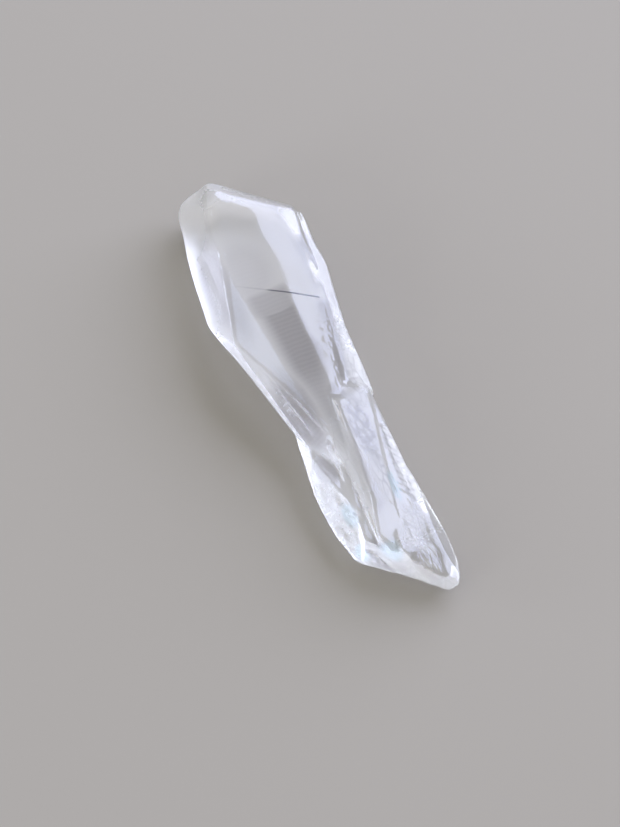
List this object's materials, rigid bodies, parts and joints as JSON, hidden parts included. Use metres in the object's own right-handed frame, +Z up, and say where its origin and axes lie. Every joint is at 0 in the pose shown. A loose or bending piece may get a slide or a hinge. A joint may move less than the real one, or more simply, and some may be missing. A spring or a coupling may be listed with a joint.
{
  "type": "quartz crystal",
  "caption": "Clear quartz crystal lying on its side: a broad flattened head, a narrow waist with growth steps, and a broken foot of side-by-side blades.",
  "frame": {"origin": "centre of the box on the surface that the crystal lies on", "axes": "+X along the crystal from the broken foot to the head, +Z up"},
  "size_m": [0.0398, 0.01, 0.0068],
  "materials": {
    "quartz": "clear, glossy faces with frosted patches"
  },
  "bodies": {
    "root": {"quartz_crystal": "quartz"}
  },
  "joints": []
}
